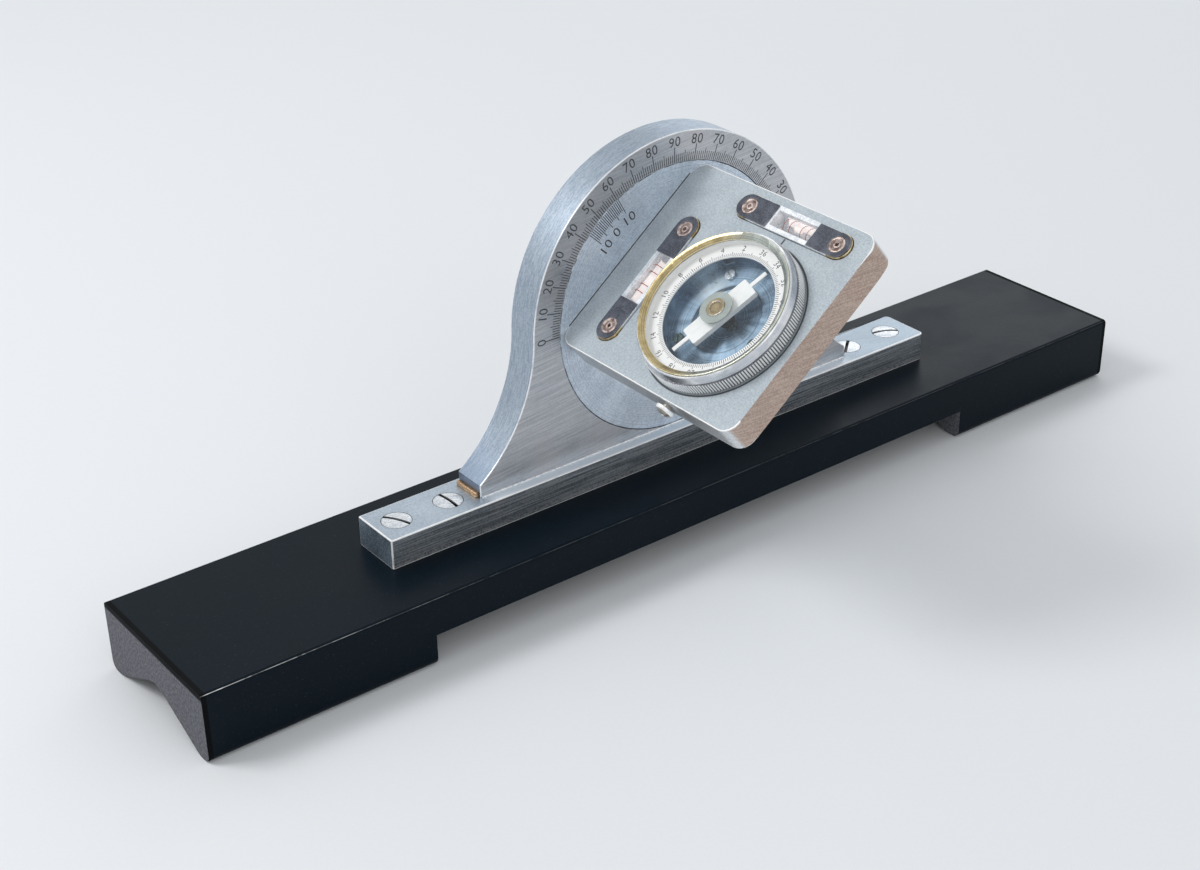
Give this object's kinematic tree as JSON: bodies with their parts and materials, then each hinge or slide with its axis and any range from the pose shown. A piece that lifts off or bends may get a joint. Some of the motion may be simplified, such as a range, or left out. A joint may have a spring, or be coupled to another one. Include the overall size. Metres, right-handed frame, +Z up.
{
  "type": "inclinometer calibrator",
  "caption": "Grooved base bar with a protractor plate, a vernier disc and a compass plate with two level vials that turns with the disc, for setting and checking a borehole inclinometer.",
  "frame": {"origin": "middle of the plane that the base bar's feet stand on", "axes": "+X along the base bar and the rail, +Y to the back, away from the compass, +Z up"},
  "size_m": [0.4, 0.1222, 0.1429],
  "materials": {
    "black_enamel": "black enamel, semi-gloss, a little uneven",
    "rail_steel": "ground and brushed lengthways",
    "screw_steel": "turned, slightly domed",
    "plate_steel": "brushed lengthways, brighter rim, dark engraved scale",
    "disc_metal": "turned satin, dark engraved vernier",
    "turned_metal": "turned",
    "spring_bronze": "rolled sheet",
    "head_metal": "bead blasted, anodised clear",
    "bowl_metal": "turned, stained blue grey",
    "knurl_metal": "knurled and polished",
    "rim_brass": "turned and lacquered",
    "dial_white": "white, black numerals",
    "cover_glass": "clear, flat",
    "needle_white": "white paint over steel",
    "hub_clear": "clear grey plastic disc",
    "pivot_metal": "hardened and polished",
    "tray_brass": "machined, warm brown brass",
    "vial_glass": "clear tube",
    "vial_spirit": "pale spirit with a bubble",
    "clip_dark": "charcoal slate blue, satin",
    "clip_screw": "brass brown, dark slot",
    "lever_metal": "dark grey green"
  },
  "bodies": {
    "base": {"base_bar": "black_enamel", "rail": "rail_steel", "rail_screws": "screw_steel", "protractor_plate": "plate_steel"},
    "disc": {"vernier_disc": "disc_metal", "disc_spindle": "turned_metal", "friction_washer": "spring_bronze", "thrust_washer": "turned_metal", "spindle_nut": "turned_metal", "head_screws": "turned_metal", "compass_plate": "head_metal", "compass_bowl": "bowl_metal", "bowl_screws": "screw_steel", "needle_pivot": "pivot_metal", "ring_retainer": "pivot_metal", "lifter_pin": "pivot_metal", "vial_1_tray": "tray_brass", "vial_1_ampoule": "vial_glass", "vial_1_spirit": "vial_spirit", "vial_1_clips": "clip_dark", "vial_1_screws": "clip_screw", "vial_2_tray": "tray_brass", "vial_2_ampoule": "vial_glass", "vial_2_spirit": "vial_spirit", "vial_2_clips": "clip_dark", "vial_2_screws": "clip_screw"},
    "azimuth_ring": {"knurled_ring": "knurl_metal", "azimuth_dial": "dial_white", "cover_glass": "cover_glass", "brass_rim": "rim_brass"},
    "needle": {"needle_bar": "needle_white", "needle_hub": "hub_clear", "needle_cap": "rim_brass"},
    "lock_screw": {"lock_screw": "screw_steel"},
    "lifter": {"needle_lifter": "lever_metal"}
  },
  "joints": [
    {"name": "disc_turn", "type": "hinge", "parent": "base", "child": "disc", "pos_m": [0, 0, 0.0843], "axis": [0, -1, 0], "range_deg": [-128.5, 51.5]},
    {"name": "ring_turn", "type": "hinge", "parent": "disc", "child": "azimuth_ring", "pos_m": [-0.02351, -0.0585, 0.10342], "axis": [-0.6225, 0, 0.7826], "continuous": true},
    {"name": "needle_swing", "type": "hinge", "parent": "disc", "child": "needle", "pos_m": [-0.02351, -0.0585, 0.10342], "axis": [-0.6225, 0, 0.7826], "continuous": true},
    {"name": "lock_turn", "type": "hinge", "parent": "disc", "child": "lock_screw", "pos_m": [-0.04519, -0.0575, 0.07927], "axis": [0.7826, 0, 0.6225], "range_deg": [0, 180]},
    {"name": "lifter_lift", "type": "hinge", "parent": "disc", "child": "lifter", "pos_m": [-0.01029, -0.0585, 0.10768], "axis": [0, 1, 0], "range_deg": [0, 1.55]}
  ],
  "couplings": [
    {"joint": "lifter_lift", "follows": "lock_turn", "ratio": 0.008333}
  ]
}
